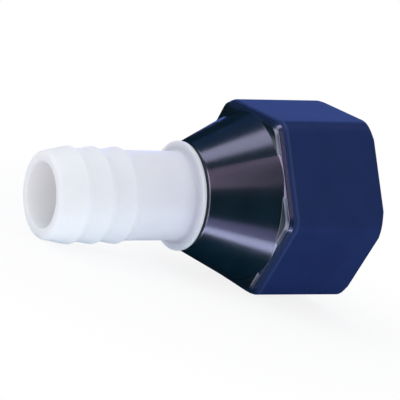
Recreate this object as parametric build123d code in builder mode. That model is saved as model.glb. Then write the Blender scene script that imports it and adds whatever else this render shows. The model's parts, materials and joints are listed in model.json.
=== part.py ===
from build123d import *

import os
from math import asin, atan2, cos, degrees, hypot, pi, radians, sin, tan

# A straight hose barb fitting with a swivel nut, in millimetres. It lies as it comes to rest on Z = 0,
# with the nut's open end raised towards +X and the barb's mouth down on the floor at -X.
# Distances named "at" are measured along the common axis from the nut's open end towards the mouth.

# Swivel nut, outside
hex_side_count = 6
hex_across_flats = 28.0
hex_length = 17.05
hex_corner_radius = 2.9
hex_draft_angle = 0.9
open_end_face_radius = 15.0
open_end_cut_angle = 30.0
shoulder_length = 0.7
shoulder_depth = 0.2
bevel_length = 0.7
bevel_depth = 0.4
land_width_at_mid_flat = 0.06
nose_radius = 8.1
nose_edge_chamfer = 0.25
nut_length = 26.95

# Swivel nut, inside
thread_root_radius = 10.6
thread_mouth_chamfer = 0.8
thread_end_at = 9.2
washer_pocket_radius = 10.1
washer_seat_at = 12.0
bead_pocket_radius = 7.9
neck_hole_length = 5.4

# Barb tail, outside
tail_length_past_nut = 23.7
collar_radius = 8.35
collar_thickness = 0.75
collar_edge_chamfer = 0.2
collar_root_chamfer = 0.3
stem_radius = 6.75
barb_count = 3
barb_pitch = 3.91
barb_crest_radius = 7.25
barb_valley_radius = 6.8
barb_back_length = 1.15
barb_crest_land = 0.3
first_crest_from_mouth = 4.25
mouth_radius = 6.45
lip_outer_rounding = 0.8
lip_inner_chamfer = 0.45

# Barb tail, inside the nut
flow_bore_radius = 4.9
neck_clearance = 0.06
neck_hole_radius = 6.76
bead_radius = 7.25
bead_land = 0.4
bead_lead_in_length = 2.6
spigot_radius = 6.35
spigot_end_chamfer = 0.3

# Sealing washer
washer_thickness = 2.5
washer_hole_radius = 5.6

# Clearances between the pieces
collar_gap = 0.3
bead_gap = 0.3
seat_gap = 0.15
washer_rim_gap = 0.3

# Places along the axis
hex_half_at_open_end = hex_across_flats / 2
draft_slope = tan(radians(hex_draft_angle))
shoulder_at = hex_length - bevel_length - shoulder_length
shoulder_angle = degrees(atan2(shoulder_depth, shoulder_length))
bevel_angle = degrees(atan2(bevel_depth, bevel_length))
hex_half_at_shoulder = hex_half_at_open_end - shoulder_at * draft_slope
land_half = hex_half_at_shoulder - shoulder_depth - bevel_depth
cone_base_radius = land_half - land_width_at_mid_flat
cone_start_at = hex_length / 2
open_end_cut_radius = hex_half_at_open_end / cos(pi / hex_side_count)
open_end_cut_length = (open_end_cut_radius - open_end_face_radius) * tan(radians(open_end_cut_angle))
collar_back_at = nut_length + collar_gap
collar_front_at = collar_back_at + collar_thickness
mouth_at = nut_length + tail_length_past_nut
tail_inner_end_at = washer_seat_at + seat_gap
neck_radius = neck_hole_radius - neck_clearance
bead_pocket_end_at = nut_length - neck_hole_length
bead_back_at = bead_pocket_end_at - bead_gap
bead_front_at = bead_back_at - bead_land
lead_in_start_at = bead_front_at - bead_lead_in_length
first_crest_at = mouth_at - first_crest_from_mouth

# Rest pose: the floor is the tangent from the edge between flat and shoulder to the rounded lip.
ramp_slope = (barb_crest_radius - mouth_radius) / (first_crest_from_mouth - barb_crest_land / 2)
lip_contact_at = mouth_at - lip_outer_rounding
lip_contact_height = mouth_radius + lip_outer_rounding * (ramp_slope - hypot(1, ramp_slope))
contact_span = lip_contact_at - shoulder_at
contact_drop = hex_half_at_shoulder - lip_contact_height
tilt = atan2(contact_drop, contact_span) - asin(lip_outer_rounding / hypot(contact_span, contact_drop))

# Where the centre of the open end lies, so that the whole rests centred over the origin
open_end_z = shoulder_at * sin(tilt) + hex_half_at_shoulder * cos(tilt)
reach_forward = hex_half_at_open_end * sin(tilt)
reach_back = lip_contact_at * cos(tilt) + lip_contact_height * sin(tilt) + lip_outer_rounding
open_end_x = (reach_back - reach_forward) / 2

axis_plane = Plane(
    origin=(open_end_x, 0, open_end_z),
    x_dir=(-cos(tilt), 0, -sin(tilt)),
    z_dir=(0, 1, 0),
)
end_plane = Plane(
    origin=(open_end_x, 0, open_end_z),
    x_dir=(0, 1, 0),
    z_dir=(-cos(tilt), 0, -sin(tilt)),
)
fitting_axis = Axis((open_end_x, 0, open_end_z), (-cos(tilt), 0, -sin(tilt)))

# Hexagon of the nut, standing on its open end: drafted, with rounded corners, a shoulder and a bevel
with BuildPart() as hexagon_body:
    with BuildSketch() as hexagon:
        RegularPolygon(radius=hex_half_at_open_end, side_count=hex_side_count, major_radius=False)
        fillet(hexagon.vertices(), radius=hex_corner_radius)
    extrude(amount=shoulder_at, taper=hex_draft_angle)
    extrude(hexagon_body.faces().sort_by(Axis.Z)[-1], amount=shoulder_length, taper=shoulder_angle)
    extrude(hexagon_body.faces().sort_by(Axis.Z)[-1], amount=bevel_length, taper=bevel_angle)

# Swivel nut: the hexagon lies with one flat downwards. Its open end is turned off at an angle that takes
# only the six corners.
with BuildPart() as swivel_nut:
    with Locations(end_plane.location):
        add(hexagon_body.part)
    with BuildSketch(axis_plane):
        with BuildLine():
            Polyline(
                (0, open_end_face_radius),
                (open_end_cut_length, open_end_cut_radius),
                (0, open_end_cut_radius),
                close=True,
            )
        make_face()
    revolve(axis=fitting_axis, mode=Mode.SUBTRACT)

    # The conical nose leaves lens-shaped lands at the six corners of the bevel
    with BuildSketch(axis_plane):
        with BuildLine():
            Polyline(
                (cone_start_at, 0),
                (cone_start_at, cone_base_radius),
                (hex_length, cone_base_radius),
                (nut_length, nose_radius),
                (nut_length, 0),
                close=True,
            )
        make_face()
    revolve(axis=fitting_axis)
    chamfer(swivel_nut.edges().group_by(fitting_axis)[-1], length=nose_edge_chamfer)

    # Threaded bore, washer pocket, bead pocket and the hole for the neck
    with BuildSketch(axis_plane):
        with BuildLine():
            Polyline(
                (0, 0),
                (0, thread_root_radius + thread_mouth_chamfer),
                (thread_mouth_chamfer, thread_root_radius),
                (thread_end_at, thread_root_radius),
                (thread_end_at, washer_pocket_radius),
                (washer_seat_at, washer_pocket_radius),
                (washer_seat_at, bead_pocket_radius),
                (bead_pocket_end_at, bead_pocket_radius),
                (bead_pocket_end_at, neck_hole_radius),
                (nut_length, neck_hole_radius),
                (nut_length, 0),
                close=True,
            )
        make_face()
    revolve(axis=fitting_axis, mode=Mode.SUBTRACT)

# Barb tail: one round profile from the sealing end, through the snap bead and the collar, to the lip
barb_points = []
for index in reversed(range(barb_count)):
    crest_at = first_crest_at - index * barb_pitch
    is_last = index == barb_count - 1
    valley_radius = stem_radius if is_last else barb_valley_radius
    barb_points.append((crest_at - barb_back_length, valley_radius))
    barb_points.append((crest_at - barb_crest_land / 2, barb_crest_radius))
    barb_points.append((crest_at + barb_crest_land / 2, barb_crest_radius))

with BuildPart() as barb_tail:
    with BuildSketch(axis_plane) as profile:
        with BuildLine():
            Polyline(
                (tail_inner_end_at, flow_bore_radius),
                (tail_inner_end_at, spigot_radius - spigot_end_chamfer),
                (tail_inner_end_at + spigot_end_chamfer, spigot_radius),
                (lead_in_start_at, spigot_radius),
                (bead_front_at, bead_radius),
                (bead_back_at, bead_radius),
                (bead_back_at, neck_radius),
                (collar_back_at, neck_radius),
                (collar_back_at, collar_radius - collar_edge_chamfer),
                (collar_back_at + collar_edge_chamfer, collar_radius),
                (collar_front_at - collar_edge_chamfer, collar_radius),
                (collar_front_at, collar_radius - collar_edge_chamfer),
                (collar_front_at, stem_radius + collar_root_chamfer),
                (collar_front_at + collar_root_chamfer, stem_radius),
                *barb_points,
                (mouth_at, mouth_radius),
                (mouth_at, flow_bore_radius + lip_inner_chamfer),
                (mouth_at - lip_inner_chamfer, flow_bore_radius),
                close=True,
            )
        make_face()
        lip_corner = profile.vertices().group_by(Axis.X)[-1].sort_by(Axis.Y)[-1]
        fillet(lip_corner, radius=lip_outer_rounding)
    revolve(axis=fitting_axis)

# Sealing washer, loose in its pocket against the shoulder of the nut and the end of the tail
with BuildPart() as sealing_washer:
    with BuildSketch(axis_plane):
        with BuildLine():
            Polyline(
                (washer_seat_at - washer_thickness, washer_hole_radius),
                (washer_seat_at, washer_hole_radius),
                (washer_seat_at, washer_pocket_radius - washer_rim_gap),
                (washer_seat_at - washer_thickness, washer_pocket_radius - washer_rim_gap),
                close=True,
            )
        make_face()
    revolve(axis=fitting_axis)

swivel_nut.part.label = "swivel_nut"
barb_tail.part.label = "barb_tail"
sealing_washer.part.label = "sealing_washer"

os.makedirs("parts", exist_ok=True)
export_step(swivel_nut.part, "parts/swivel_nut.step")
export_step(barb_tail.part, "parts/barb_tail.step")
export_step(sealing_washer.part, "parts/sealing_washer.step")
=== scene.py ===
import json
import math

import bmesh
import bpy
from mathutils import Matrix, Vector


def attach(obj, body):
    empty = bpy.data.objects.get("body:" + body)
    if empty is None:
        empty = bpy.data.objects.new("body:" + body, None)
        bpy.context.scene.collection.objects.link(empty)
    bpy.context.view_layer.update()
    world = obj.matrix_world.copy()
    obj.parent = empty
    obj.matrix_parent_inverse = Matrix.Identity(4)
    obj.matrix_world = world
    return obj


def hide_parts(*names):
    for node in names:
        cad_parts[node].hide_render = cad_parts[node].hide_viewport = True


# Looks of the straight hose barb fitting. Its sizes are in millimetres, as in the drawing, and become
# metres where a mesh is made. Distances named "at" run along the axis from the nut's open end to the
# mouth. Shoulder, bevel, nose and collar stand where the photograph shows them, which is within 0.3 mm
# of the drawing and inside its box.

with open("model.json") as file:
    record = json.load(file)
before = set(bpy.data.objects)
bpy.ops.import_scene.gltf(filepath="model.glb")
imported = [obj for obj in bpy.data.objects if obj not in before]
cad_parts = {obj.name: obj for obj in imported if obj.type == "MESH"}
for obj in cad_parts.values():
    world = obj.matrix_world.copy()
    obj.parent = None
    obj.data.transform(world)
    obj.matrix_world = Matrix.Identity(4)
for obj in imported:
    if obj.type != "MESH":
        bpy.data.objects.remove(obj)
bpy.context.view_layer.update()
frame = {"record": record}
mounts = {mount["name"]: mount for mount in frame["record"]["mounts"]}
MM = 0.001

# Swivel nut, outside. Behind the flats the hexagon steps inward four times: shoulder, bevel, dark line
# and bright edge. The conical nose cuts through the last step.
hex_across_flats = 28.0
hex_length = 17.05
hex_corner_radius = 2.9
hex_draft = math.tan(math.radians(0.9))
open_end_face_radius = 15.0
open_end_cut_slope = 1 / math.tan(math.radians(30))
open_edge_break = 0.1
shoulder_at = 15.52
shoulder_length = 0.68
shoulder_depth = 0.2
bevel_length = 0.48
bevel_depth = 0.25
dark_line_length = 0.15
dark_line_depth = 0.04
bright_edge_length = 0.3
bright_edge_depth = 0.62
cone_base_radius = 13.094
nose_radius = 8.15
nut_length = 26.95

# Swivel nut, inside
thread_mouth_chamfer = 0.8
thread_root_radius = mounts["port_thread"]["dims"]["r_mm"]
thread_end_at = thread_mouth_chamfer + mounts["port_thread"]["dims"]["length_mm"]
washer_pocket_radius = 10.1
washer_seat_at = 12.0
bead_pocket_radius = 7.9
neck_hole_length = 5.4
neck_hole_radius = 6.76

# Thread ridge in the nut: 14 turns to the inch. Its foot is sunk in the wall.
thread_pitch = 25.4 / 14
thread_depth = 1.05
thread_least_depth = 0.02
thread_foot_depth = 0.05
thread_root_width = 1.5
thread_crest_width = 0.4

# Barb tail
tail_length_past_nut = 23.7
collar_gap = 0.39
collar_radius = 8.35
collar_thickness = 0.66
stem_radius = 6.75
barb_count = 3
barb_pitch = 3.91
barb_crest_radius = mounts["hose_barb"]["dims"]["r_mm"]
barb_valley_radius = 6.8
barb_back_length = 1.15
first_crest_from_mouth = 4.25
mouth_radius = 6.45
flow_bore_radius = mounts["flow_bore"]["dims"]["r_mm"]
seat_gap = 0.15
spigot_radius = 6.35
bead_gap = 0.3
bead_radius = 7.25
bead_land = 0.4
bead_lead_in_length = 2.6
neck_clearance = 0.06

# Sealing washer
washer_thickness = 2.5
washer_hole_radius = 5.6
washer_rim_gap = 0.3

# Roundings of the moulded edges
open_edge_rounding = 0.3
shoulder_rounding = 0.3
bevel_rounding = 0.1
land_rounding = 0.12
root_rounding = 0.1
nose_edge_rounding = 0.5
inner_edge_rounding = 0.12
collar_edge_rounding = 0.25
collar_root_rounding = 0.6
crest_rounding = 0.45
valley_rounding = 0.25
lip_outer_rounding = 0.8
lip_inner_rounding = 0.3
washer_edge_rounding = 0.3

# Fineness of the meshes
nut_steps = 360
tail_steps = 240
washer_steps = 144
thread_steps_per_turn = 72
arc_steps = 5
arc_share_of_side = 0.48
coincident_distance = 1e-5
weld_distance_m = 2e-7
sharp_edge_angle = math.radians(40)

# Where the finishes change: faces of the nut that look this squarely at the mouth are lands, the flats
# end this far before the bevel, a painted highlight runs this far either side of the shoulder's edge,
# and painted light makes the bore paler than the lip over this depth
land_squareness = 0.97
flats_end_before_bevel = 0.03
edge_highlight_half_width = 0.3
bore_light_depth = 0.4

# Camera, from a fit to the photograph's outline: a 400 pixel square frame
frame_pixels = 400
focal_pixels = 1964.8
camera_azimuth = math.radians(33.585)
camera_elevation = math.radians(7.952)
camera_roll = math.radians(19.091)
camera_aim = Vector((0.995, 0.0, 11.182)) * MM
camera_distance = 300 * MM
sensor_width = 36.0

# Studio, in metres: the floor's shadow fades into white between the two distances
floor_half = 4.0
floor_white_share = 0.85
shadow_fades_from = 0.02
shadow_fades_to = 0.08
tent_radius = 1.5
world_strength = 0.75

# The fitting's own axis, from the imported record
toward_mouth = -Vector(mounts["port_thread"]["axis"]).normalized()
across = Vector((0.0, 1.0, 0.0))
below = toward_mouth.cross(across)
thread_middle_at = (thread_mouth_chamfer + thread_end_at) / 2
open_end = Vector(mounts["port_thread"]["pos_m"]) - toward_mouth * thread_middle_at * MM
axis_tilt = math.asin(-toward_mouth.z)

# Places along the axis, and how far the hexagon has stepped inward there
shoulder_inset = shoulder_at * hex_draft
bevel_at = shoulder_at + shoulder_length
bevel_inset = shoulder_inset + shoulder_depth
dark_line_at = bevel_at + bevel_length
dark_line_inset = bevel_inset + bevel_depth
bright_edge_at = dark_line_at + dark_line_length
bright_edge_inset = dark_line_inset + dark_line_depth
cone_slope = (cone_base_radius - nose_radius) / (nut_length - hex_length)
bead_pocket_end_at = nut_length - neck_hole_length
collar_back_at = nut_length + collar_gap
collar_front_at = collar_back_at + collar_thickness
mouth_at = nut_length + tail_length_past_nut
tail_inner_end_at = washer_seat_at + seat_gap
bead_back_at = bead_pocket_end_at - bead_gap
bead_front_at = bead_back_at - bead_land
lead_in_start_at = bead_front_at - bead_lead_in_length
neck_radius = neck_hole_radius - neck_clearance
first_crest_at = mouth_at - first_crest_from_mouth


# Meshes
def on_fitting(place, radius, angle):
    outward = across * math.cos(angle) + below * math.sin(angle)
    return open_end + (toward_mouth * place + outward * radius) * MM


def rounded(corners):
    """The closed loop of (place, radius, rounding) corners with each corner turned into an arc."""
    loop = []
    for index, (place, radius, rounding) in enumerate(corners):
        corner = Vector((place, radius))
        to_last = Vector(corners[index - 1][:2]) - corner
        to_next = Vector(corners[(index + 1) % len(corners)][:2]) - corner
        room = arc_share_of_side * min(to_last.length, to_next.length)
        if room < coincident_distance:
            loop += [corner] * (arc_steps + 1)
            continue
        to_last.normalize()
        to_next.normalize()
        half_angle = to_last.angle(to_next) / 2
        reach = min(rounding / math.tan(half_angle), room)
        arc_radius = reach * math.tan(half_angle)
        centre = corner + (to_last + to_next).normalized() * (arc_radius / math.sin(half_angle))
        start = corner + to_last * reach - centre
        sweep = start.angle_signed(corner + to_next * reach - centre)
        for step in range(arc_steps + 1):
            turn = -sweep * step / arc_steps
            loop.append(centre + Matrix.Rotation(turn, 2) @ start)
    return loop


def bridge(bm, rows):
    """Faces between each closed row of points and the next."""
    for here, there in zip(rows, rows[1:]):
        for j in range(len(here)):
            k = (j + 1) % len(here)
            bm.faces.new((here[j], here[k], there[k], there[j]))


def object_from(bm, name):
    mesh = bpy.data.meshes.new(name)
    bm.to_mesh(mesh)
    bm.free()
    thing = bpy.data.objects.new(name, mesh)
    bpy.context.scene.collection.objects.link(thing)
    return thing


def piece_from(bm, name):
    """A smooth-shaded piece of the fitting."""
    bmesh.ops.recalc_face_normals(bm, faces=bm.faces)
    piece = object_from(bm, name)
    piece.data.shade_smooth()
    piece.data.set_sharp_from_angle(angle=sharp_edge_angle)
    weighted = piece.modifiers.new("weighted_normals", "WEIGHTED_NORMAL")
    weighted.keep_sharp = True
    return piece


def ring_piece(name, corners_at, steps):
    """A closed ring round the axis, whose section at each angle has the corners corners_at(angle)."""
    bm = bmesh.new()
    rows = []
    for step in range(steps):
        angle = 2 * math.pi * step / steps
        rows.append([bm.verts.new(on_fitting(p.x, p.y, angle)) for p in rounded(corners_at(angle))])
    bridge(bm, rows + rows[:1])
    bmesh.ops.remove_doubles(bm, verts=bm.verts, dist=weld_distance_m)
    return piece_from(bm, name)


# Swivel nut
def hexagon_reach(angle, inset):
    """How far the rounded hexagon, moved inward by inset, lies from the axis in that direction."""
    half_width = hex_across_flats / 2 - inset
    corner_radius = hex_corner_radius - inset
    from_flat = abs((angle % (math.pi / 3)) - math.pi / 6)
    from_corner = math.pi / 6 - from_flat
    flat_ends = math.atan((half_width - corner_radius) * math.tan(math.pi / 6) / half_width)
    if from_flat < flat_ends:
        return half_width / math.cos(from_flat)
    arc_centre = (half_width - corner_radius) / math.cos(math.pi / 6)
    aside = arc_centre * math.sin(from_corner)
    return arc_centre * math.cos(from_corner) + math.sqrt(corner_radius ** 2 - aside ** 2)


def nut_corners(angle):
    full = hexagon_reach(angle, 0)
    end_reach = min(full - open_edge_break, open_end_face_radius)
    cut_ends_at = (full - end_reach) / open_end_cut_slope
    # The bright edge runs straight along each flat until the cone cuts it off
    edge_outer = hexagon_reach(angle, bright_edge_inset)
    room_over_cone = edge_outer - cone_base_radius - (hex_length - bright_edge_at) * cone_slope
    room_needed = bright_edge_depth - bright_edge_length * cone_slope
    edge_share = max(0.0, min(1.0, room_over_cone / room_needed))
    land_starts_at = bright_edge_at + bright_edge_length * edge_share
    land_reach = edge_outer - bright_edge_depth * edge_share
    cone_reach = cone_base_radius + (hex_length - land_starts_at) * cone_slope
    return [
        (0, thread_root_radius + thread_mouth_chamfer, inner_edge_rounding),
        (0, end_reach, open_edge_rounding),
        (cut_ends_at, full - cut_ends_at * hex_draft, open_edge_rounding),
        (shoulder_at, hexagon_reach(angle, shoulder_inset), shoulder_rounding),
        (bevel_at, hexagon_reach(angle, bevel_inset), bevel_rounding),
        (dark_line_at, hexagon_reach(angle, dark_line_inset), bevel_rounding),
        (bright_edge_at, edge_outer, land_rounding),
        (land_starts_at, land_reach, land_rounding),
        (land_starts_at, cone_reach, root_rounding),
        (nut_length, nose_radius, nose_edge_rounding),
        (nut_length, neck_hole_radius, inner_edge_rounding),
        (bead_pocket_end_at, neck_hole_radius, inner_edge_rounding),
        (bead_pocket_end_at, bead_pocket_radius, inner_edge_rounding),
        (washer_seat_at, bead_pocket_radius, inner_edge_rounding),
        (washer_seat_at, washer_pocket_radius, inner_edge_rounding),
        (thread_end_at, washer_pocket_radius, inner_edge_rounding),
        (thread_end_at, thread_root_radius, inner_edge_rounding),
        (thread_mouth_chamfer, thread_root_radius, inner_edge_rounding),
    ]


def thread_piece(name):
    """The female thread's ridge: a tapered strip wound inside the nut, which fades in and out."""
    first_at = thread_mouth_chamfer + thread_root_width / 2
    last_at = thread_end_at - thread_root_width / 2 - inner_edge_rounding
    steps = round((last_at - first_at) / thread_pitch * thread_steps_per_turn)
    fade_steps = thread_steps_per_turn // 3
    half_root, half_crest = thread_root_width / 2, thread_crest_width / 2
    foot_radius = thread_root_radius + thread_foot_depth
    bm = bmesh.new()
    rows = []
    for step in range(steps + 1):
        grown = math.sin(min(1.0, step / fade_steps, (steps - step) / fade_steps) * math.pi / 2)
        depth = thread_least_depth + (thread_depth - thread_least_depth) * grown
        place = first_at + step * thread_pitch / thread_steps_per_turn
        angle = 2 * math.pi * step / thread_steps_per_turn
        section = [
            (place - half_root, foot_radius),
            (place - half_root, thread_root_radius),
            (place - half_crest, thread_root_radius - depth),
            (place + half_crest, thread_root_radius - depth),
            (place + half_root, thread_root_radius),
            (place + half_root, foot_radius),
        ]
        rows.append([bm.verts.new(on_fitting(p, r, angle)) for p, r in section])
    bridge(bm, rows)
    bm.faces.new(rows[0])
    bm.faces.new(rows[-1])
    return piece_from(bm, name)


# Barb tail
def tail_corners(angle):
    corners = [
        (tail_inner_end_at, flow_bore_radius, inner_edge_rounding),
        (tail_inner_end_at, spigot_radius, lip_inner_rounding),
        (lead_in_start_at, spigot_radius, crest_rounding),
        (bead_front_at, bead_radius, inner_edge_rounding),
        (bead_back_at, bead_radius, inner_edge_rounding),
        (bead_back_at, neck_radius, inner_edge_rounding),
        (collar_back_at, neck_radius, inner_edge_rounding),
        (collar_back_at, collar_radius, collar_edge_rounding),
        (collar_front_at, collar_radius, collar_edge_rounding),
        (collar_front_at, stem_radius, collar_root_rounding),
    ]
    for index in reversed(range(barb_count)):
        crest_at = first_crest_at - index * barb_pitch
        valley_radius = stem_radius if index == barb_count - 1 else barb_valley_radius
        corners.append((crest_at - barb_back_length, valley_radius, valley_rounding))
        corners.append((crest_at, barb_crest_radius, crest_rounding))
    corners.append((mouth_at, mouth_radius, lip_outer_rounding))
    corners.append((mouth_at, flow_bore_radius, lip_inner_rounding))
    return corners


# Sealing washer
def washer_corners(angle):
    rim_radius = washer_pocket_radius - washer_rim_gap
    front_at = washer_seat_at - washer_thickness
    return [
        (front_at, washer_hole_radius, washer_edge_rounding),
        (front_at, rim_radius, washer_edge_rounding),
        (washer_seat_at, rim_radius, washer_edge_rounding),
        (washer_seat_at, washer_hole_radius, washer_edge_rounding),
    ]


nut = ring_piece("nut_body", nut_corners, nut_steps)
thread = thread_piece("nut_thread")
tail = ring_piece("tail_body", tail_corners, tail_steps)
washer = ring_piece("washer_body", washer_corners, washer_steps)


# Materials
class Nodes:
    """A short way to add and join the nodes of a material or a world."""

    def __init__(self, owner):
        owner.use_nodes = True
        self.owner = owner
        self.tree = owner.node_tree

    def add(self, kind, **inputs):
        node = self.tree.nodes.new(kind)
        for key, value in inputs.items():
            self.give(node, key.replace("_", " ").title(), value)
        return node

    def give(self, node, key, value):
        """Sets one input of a node, or joins a socket to it."""
        if isinstance(value, bpy.types.NodeSocket):
            self.tree.links.new(value, node.inputs[key])
        else:
            node.inputs[key].default_value = value

    def give_in_order(self, node, values):
        for index, value in enumerate(values):
            self.give(node, index, value)
        return node

    def worked_out(self, kind, operation, *values):
        node = self.add(kind)
        node.operation = operation
        return self.give_in_order(node, values)

    def axis_coordinates(self):
        """Coordinates in millimetres with X running along the fitting from the open end."""
        source = self.add("ShaderNodeTexCoord")
        mapping = self.add("ShaderNodeMapping", vector=source.outputs["Object"])
        turn = Matrix.Rotation(math.pi + axis_tilt, 3, "Y")
        mapping.inputs["Rotation"].default_value = turn.to_euler()
        mapping.inputs["Scale"].default_value = (1 / MM,) * 3
        mapping.inputs["Location"].default_value = -(turn @ open_end) / MM
        return mapping.outputs["Vector"]

    def along(self, coordinates):
        """The place along the axis, from axis coordinates."""
        return self.add("ShaderNodeSeparateXYZ", vector=coordinates).outputs["X"]

    def stretched(self, coordinates, factors):
        return self.worked_out("ShaderNodeVectorMath", "MULTIPLY", coordinates, factors).outputs[0]

    def length(self, vector):
        return self.worked_out("ShaderNodeVectorMath", "LENGTH", vector).outputs["Value"]

    def noise(self, coordinates, scale, detail=4.0, roughness=0.5):
        node = self.add(
            "ShaderNodeTexNoise", vector=coordinates, scale=scale, detail=detail, roughness=roughness,
        )
        return node.outputs["Fac"]

    def spread(self, value, from_low, from_high, to_low, to_high, interpolation="LINEAR"):
        node = self.add("ShaderNodeMapRange")
        node.interpolation_type = interpolation
        self.give_in_order(node, (value, from_low, from_high, to_low, to_high))
        return node.outputs[0]

    def near(self, value, target, half_width):
        """One where value equals target, falling to zero at half_width from it."""
        difference = self.worked_out("ShaderNodeMath", "SUBTRACT", value, target).outputs[0]
        away = self.worked_out("ShaderNodeMath", "ABSOLUTE", difference).outputs[0]
        return self.spread(away, 0.0, half_width, 1.0, 0.0)

    def mixed(self, factor, low, high):
        node = self.add("ShaderNodeMix")
        node.data_type = "RGBA"
        self.give(node, 0, factor)
        self.give(node, 6, low)
        self.give(node, 7, high)
        return node.outputs[2]

    def patchy(self, cloud, low, high):
        return self.mixed(self.spread(cloud, 0.35, 0.65, 0.0, 1.0), low, high)

    def grained(self, grain, smoothest, roughest):
        return self.spread(grain, 0.3, 0.7, smoothest, roughest)

    def bump(self, height, strength, distance, underneath=None):
        node = self.add("ShaderNodeBump", strength=strength, distance=distance, height=height)
        if underneath is not None:
            self.give(node, "Normal", underneath)
        return node.outputs["Normal"]

    def finish(self, colour, roughness, normal, specular=0.5):
        """Gives the material's shader its colour, gloss and relief, and returns the shader."""
        shader = self.tree.nodes["Principled BSDF"]
        self.give(shader, "Base Color", colour)
        self.give(shader, "Roughness", roughness)
        self.give(shader, "Normal", normal)
        self.give(shader, "Specular IOR Level", specular)
        return shader


def flats_material():
    """Fine spark-eroded blue, with a pale painted highlight along the shoulder's edge: the hexagon and
    the inside.
    """
    n = Nodes(bpy.data.materials.new("nut_flats"))
    place = n.axis_coordinates()
    cloud = n.noise(place, 0.25, 3.0)
    grain = n.noise(place, 9.0, 3.0)
    blue = n.patchy(cloud, (0.0096, 0.0230, 0.0920, 1), (0.0110, 0.0256, 0.1020, 1))
    # Painted highlight: a pale line along the shoulder's edge stands in for light caught by the rounded
    # edge
    edge_highlight = n.near(n.along(place), shoulder_at, edge_highlight_half_width)
    colour = n.mixed(edge_highlight, blue, (0.0290, 0.0490, 0.1300, 1))
    n.finish(colour, n.grained(grain, 0.42, 0.56), n.bump(grain, 0.12, 0.00004), 0.08)
    return n.owner


def cone_material():
    """Polished near-black blue with fine scratches and specks: the cone and the lands."""
    n = Nodes(bpy.data.materials.new("nut_cone"))
    place = n.axis_coordinates()
    cloud = n.noise(place, 0.3, 3.0)
    scratches = n.noise(n.stretched(place, (0.35, 5.0, 5.0)), 1.6, 5.0, 0.65)
    specks = n.noise(place, 6.0, 2.0)
    colour = n.patchy(cloud, (0.0010, 0.0105, 0.0180, 1), (0.0025, 0.0140, 0.0230, 1))
    scratched = n.bump(scratches, 0.10, 0.00003)
    relief = n.bump(n.spread(specks, 0.66, 0.74, 0.0, 1.0), 0.15, 0.00003, scratched)
    n.finish(colour, n.grained(scratches, 0.14, 0.25), relief, 0.5)
    return n.owner


def bevel_material():
    """Polished dark blue: the bevel, the dark line and the bright edge."""
    n = Nodes(bpy.data.materials.new("nut_bevel"))
    place = n.axis_coordinates()
    cloud = n.noise(place, 0.8, 3.0)
    grain = n.noise(place, 4.0, 3.0)
    colour = n.patchy(cloud, (0.0045, 0.0150, 0.0420, 1), (0.0060, 0.0180, 0.0500, 1))
    n.finish(colour, n.grained(grain, 0.16, 0.24), n.bump(grain, 0.08, 0.00003), 0.6)
    return n.owner


def tail_material():
    """Milky white nylon, satin, a little uneven, greyer towards the nut by painted shade and paler in
    the bore by painted light.
    """
    n = Nodes(bpy.data.materials.new("tail_nylon"))
    place = n.axis_coordinates()
    cloud = n.noise(place, 0.22, 3.0)
    grain = n.noise(place, 5.0, 4.0)
    # Painted shade: the nylon's colour turns greyer towards the nut
    nut_shade_fade = n.spread(n.along(place), collar_front_at, first_crest_at, 0.0, 1.0)
    greyer = n.mixed(nut_shade_fade, (0.728, 0.718, 0.802, 1), (0.872, 0.878, 0.906, 1))
    paler = n.mixed(nut_shade_fade, (0.756, 0.748, 0.826, 1), (0.896, 0.902, 0.926, 1))
    outside = n.mixed(n.spread(cloud, 0.3, 0.7, 0.0, 1.0), greyer, paler)
    # Painted light: the bore is coloured paler than the outside
    radius = n.length(n.stretched(place, (0.0, 1.0, 1.0)))
    bore_light_fade = n.spread(radius, flow_bore_radius, flow_bore_radius + bore_light_depth, 0.0, 1.0)
    colour = n.mixed(bore_light_fade, (0.985, 0.965, 0.985, 1), outside)
    shader = n.finish(colour, n.grained(grain, 0.38, 0.50), n.bump(grain, 0.08, 0.00004), 0.10)
    n.give(shader, "Subsurface Weight", 1.0)
    n.give(shader, "Subsurface Radius", (1.0, 0.9, 0.85))
    n.give(shader, "Subsurface Scale", 0.004)
    return n.owner


def washer_material():
    """Dull black rubber with a faint grain."""
    n = Nodes(bpy.data.materials.new("washer_rubber_finish"))
    grain = n.noise(n.axis_coordinates(), 4.0, 5.0)
    colour = n.mixed(grain, (0.016, 0.016, 0.017, 1), (0.040, 0.040, 0.042, 1))
    n.finish(colour, n.grained(grain, 0.62, 0.80), n.bump(grain, 0.25, 0.00005))
    return n.owner


FLATS, CONE, BEVEL = range(3)


def nut_finish(face):
    offset = face.center - open_end
    place = offset.dot(toward_mouth) / MM
    radius = (offset - toward_mouth * place * MM).length / MM
    if radius < neck_hole_radius + inner_edge_rounding or place < bevel_at - flats_end_before_bevel:
        return FLATS
    is_land = face.normal.dot(toward_mouth) > land_squareness
    if place < hex_length and radius > cone_base_radius and not is_land:
        return BEVEL
    return CONE


for material in (flats_material(), cone_material(), bevel_material()):
    nut.data.materials.append(material)
for face in nut.data.polygons:
    face.material_index = nut_finish(face)
thread.data.materials.append(nut.data.materials[FLATS])
tail.data.materials.append(tail_material())
washer.data.materials.append(washer_material())

for piece, node, body, slot in (
    (nut, "swivel_nut", "nut", "nut_plastic"),
    (thread, None, "nut", "nut_plastic"),
    (tail, "barb_tail", "tail", "tail_plastic"),
    (washer, "sealing_washer", "nut", "washer_rubber"),
):
    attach(piece, body)
    if node:
        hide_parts(node)

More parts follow.
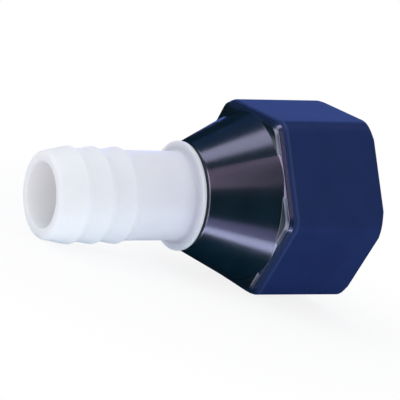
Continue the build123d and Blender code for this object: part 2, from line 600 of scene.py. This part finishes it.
# Camera
forward = Vector((
    math.sin(camera_azimuth) * math.cos(camera_elevation),
    math.cos(camera_azimuth) * math.cos(camera_elevation),
    -math.sin(camera_elevation),
))
level_right = Vector((math.cos(camera_azimuth), -math.sin(camera_azimuth), 0.0))
level_up = level_right.cross(forward)
camera_right = level_right * math.cos(camera_roll) + level_up * math.sin(camera_roll)
camera_up = level_up * math.cos(camera_roll) - level_right * math.sin(camera_roll)
lens = bpy.data.cameras.new("photo_camera")
lens.sensor_width = sensor_width
lens.lens = focal_pixels / frame_pixels * sensor_width
lens.clip_start = 0.01
lens.clip_end = 20.0
camera = bpy.data.objects.new("photo_camera", lens)
facing = Matrix((camera_right, camera_up, -forward)).transposed().to_4x4()
camera.matrix_world = Matrix.Translation(camera_aim - forward * camera_distance) @ facing
bpy.context.scene.collection.objects.link(camera)
bpy.context.scene.camera = camera

# Lamps: name, direction as (right, up, towards the camera) seen from the fitting, distance, width,
# height, roll in degrees, watts and colour. The soft lamps don't show in reflections.
soft_lamps = (
    ("overhead_softbox", (-0.20, 1.0, 0.1), 0.6, 0.7, 0.5, 0, 0.9, (0.97, 0.98, 1.0)),
    ("front_softbox", (0.45, 0.25, 0.85), 0.7, 0.7, 0.7, 0, 0.4, (1.0, 0.98, 0.98)),
    ("tail_softbox", (-0.45, -0.85, 0.30), 0.5, 0.5, 0.5, 0, 0.6, (1.0, 0.97, 1.0)),
    ("below_softbox", (0.45, -0.88, 0.15), 0.5, 0.5, 0.5, 0, 1.8, (0.62, 0.84, 1.0)),
)
# These show in reflections alone: the cone's streaks and brown band, the rims, and the far flats
mirrored_lamps = (
    ("upper_strip", (-0.06, 0.978, 0.208), 0.5, 0.8, 0.21, 0, 3.4, (0.70, 0.68, 1.0)),
    ("lower_strip", (-0.335, -0.858, 0.39), 0.5, 0.4, 0.12, 0, 2.25, (0.62, 0.66, 1.0)),
    ("lower_fade", (-0.26, -0.74, 0.62), 0.5, 0.4, 0.16, 0, 0.75, (0.54, 0.50, 1.0)),
    ("front_card", (-0.275, 0.445, 0.853), 0.5, 0.40, 0.34, 9, 2.0, (0.90, 0.66, 1.0)),
    ("nose_card", (-0.54, -0.05, 0.84), 0.5, 0.28, 0.85, 0, 4.8, (0.82, 0.80, 1.0)),
    ("left_card", (-0.974, 0.0, 0.225), 0.5, 0.29, 0.62, 0, 3.6, (0.80, 0.82, 1.0)),
    ("top_card", (0.0, 0.94, -0.34), 0.5, 0.5, 0.30, 0, 0.15, (0.18, 0.30, 1.0)),
    ("back_card", (0.28, 0.40, -0.87), 0.5, 0.4, 0.20, 0, 0.75, (0.18, 0.30, 1.0)),
)


def lamp(name, direction, distance, width, height, roll, watts, colour):
    light = bpy.data.lights.new(name, "AREA")
    light.shape = "RECTANGLE"
    light.size = width
    light.size_y = height
    light.energy = watts
    light.color = colour
    holder = bpy.data.objects.new(name, light)
    right, up, toward = direction
    ray = (camera_right * right + camera_up * up - forward * toward).normalized()
    side = (camera_right - ray * camera_right.dot(ray)).normalized()
    turned = Matrix((side, ray.cross(side), ray)).transposed().to_4x4()
    turned = turned @ Matrix.Rotation(math.radians(roll), 4, "Z")
    holder.matrix_world = Matrix.Translation(camera_aim + ray * distance) @ turned
    holder.visible_camera = False
    bpy.context.scene.collection.objects.link(holder)
    return holder


for row in soft_lamps:
    lamp(*row).visible_glossy = False
for row in mirrored_lamps:
    lamp(*row).visible_diffuse = False


# Floor, black tent and world: the background is white to the camera and in reflections
def white_where_seen(n, surface, share):
    """Camera, glossy and transmission rays see share of white in place of surface."""
    rays = n.add("ShaderNodeLightPath")
    seen = rays.outputs["Is Camera Ray"]
    for kind in ("Is Glossy Ray", "Is Transmission Ray"):
        seen = n.worked_out("ShaderNodeMath", "MAXIMUM", seen, rays.outputs[kind]).outputs[0]
    part = n.worked_out("ShaderNodeMath", "MULTIPLY", seen, share).outputs[0]
    white = n.add("ShaderNodeEmission", strength=1.0)
    choice = n.give_in_order(n.add("ShaderNodeMixShader"), (part, surface, white.outputs[0]))
    return choice.outputs[0]


def floor_material():
    """Pale floor that keeps the soft shadow near the fitting and fades into the white background."""
    n = Nodes(bpy.data.materials.new("pale_floor"))
    shader = n.tree.nodes["Principled BSDF"]
    n.give(shader, "Base Color", (0.92, 0.92, 0.92, 1))
    n.give(shader, "Roughness", 0.8)
    n.give(shader, "Specular IOR Level", 0.1)
    reach = n.length(n.add("ShaderNodeTexCoord").outputs["Object"])
    fade = n.spread(reach, shadow_fades_from, shadow_fades_to, floor_white_share, 1.0, "SMOOTHSTEP")
    surface = white_where_seen(n, shader.outputs[0], fade)
    n.give(n.tree.nodes["Material Output"], "Surface", surface)
    return n.owner


def tent_material():
    n = Nodes(bpy.data.materials.new("black_tent"))
    shader = n.tree.nodes["Principled BSDF"]
    n.give(shader, "Base Color", (0.004, 0.004, 0.005, 1))
    n.give(shader, "Specular IOR Level", 0.0)
    return n.owner


bm = bmesh.new()
bmesh.ops.create_grid(bm, x_segments=1, y_segments=1, size=floor_half)
floor = object_from(bm, "floor")
floor.data.materials.append(floor_material())
floor.visible_glossy = False
floor.visible_shadow = False

# The black tent, seen only by glossy rays, keeps the polished cone dark between the strips
bm = bmesh.new()
bmesh.ops.create_uvsphere(bm, u_segments=32, v_segments=16, radius=tent_radius)
tent = object_from(bm, "black_tent")
tent.data.materials.append(tent_material())
tent.visible_camera = False
tent.visible_diffuse = False
tent.visible_transmission = False
tent.visible_shadow = False

world = bpy.data.worlds.new("studio")
bpy.context.scene.world = world
n = Nodes(world)
soft = n.tree.nodes["Background"]
n.give(soft, "Color", (0.93, 0.96, 1.0, 1))
n.give(soft, "Strength", world_strength)
n.give(n.tree.nodes["World Output"], "Surface", white_where_seen(n, soft.outputs[0], 1.0))

bpy.context.scene.view_settings.view_transform = "Standard"
